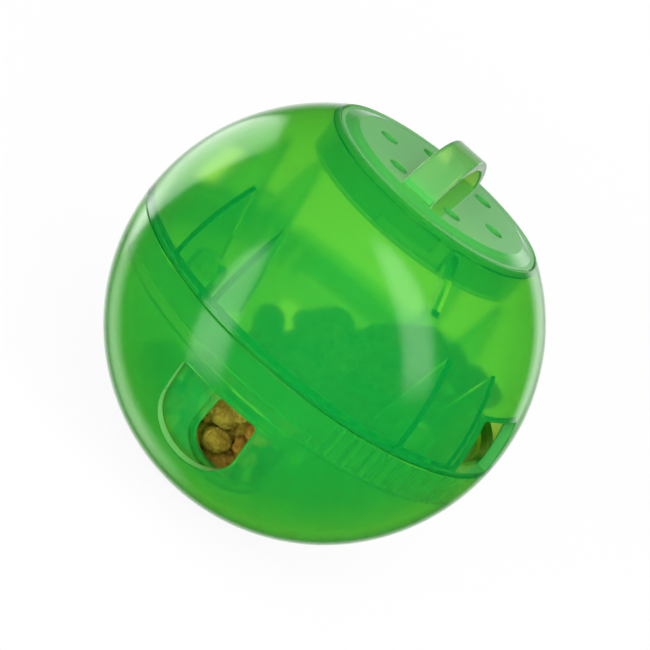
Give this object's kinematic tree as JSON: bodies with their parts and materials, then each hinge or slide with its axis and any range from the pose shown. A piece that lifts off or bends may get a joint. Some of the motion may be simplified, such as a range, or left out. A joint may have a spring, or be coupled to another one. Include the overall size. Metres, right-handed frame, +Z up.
{
  "type": "treat dispensing ball",
  "caption": "Translucent ball for dry pet food, with a turning inner bowl that opens or covers its windows and a twist-lock cap with a bridge handle.",
  "frame": {"origin": "lowest point of the ball, on its upright axis", "axes": "+Z up the ball's axis towards the handle, -Y out of the front dispensing window of the lower shell, +X to the right seen from that window"},
  "size_m": [0.08, 0.08, 0.0817],
  "materials": {
    "green_shell_low": "gloss",
    "green_shell_high": "gloss",
    "green_bowl": "gloss",
    "green_cap": "gloss",
    "kibble": "matt"
  },
  "bodies": {
    "base": {"lower_shell": "green_shell_low"},
    "dial": {"inner_bowl": "green_bowl", "kibble": "kibble"},
    "top": {"upper_shell": "green_shell_high"},
    "cap": {"handle_cap": "green_cap"}
  },
  "joints": [
    {"name": "setting_turn", "type": "hinge", "parent": "base", "child": "dial", "pos_m": [0, 0, 0.04], "axis": [0, 0, 1], "range_deg": [-12, 42]},
    {"name": "top_lift", "type": "slide", "parent": "dial", "child": "top", "axis": [0, 0, 1], "range_m": [0, 0.055]},
    {"name": "cap_twist", "type": "hinge", "parent": "top", "child": "cap", "pos_m": [0, 0, 0.07], "axis": [0, 0, 1], "range_deg": [0, 28]}
  ]
}
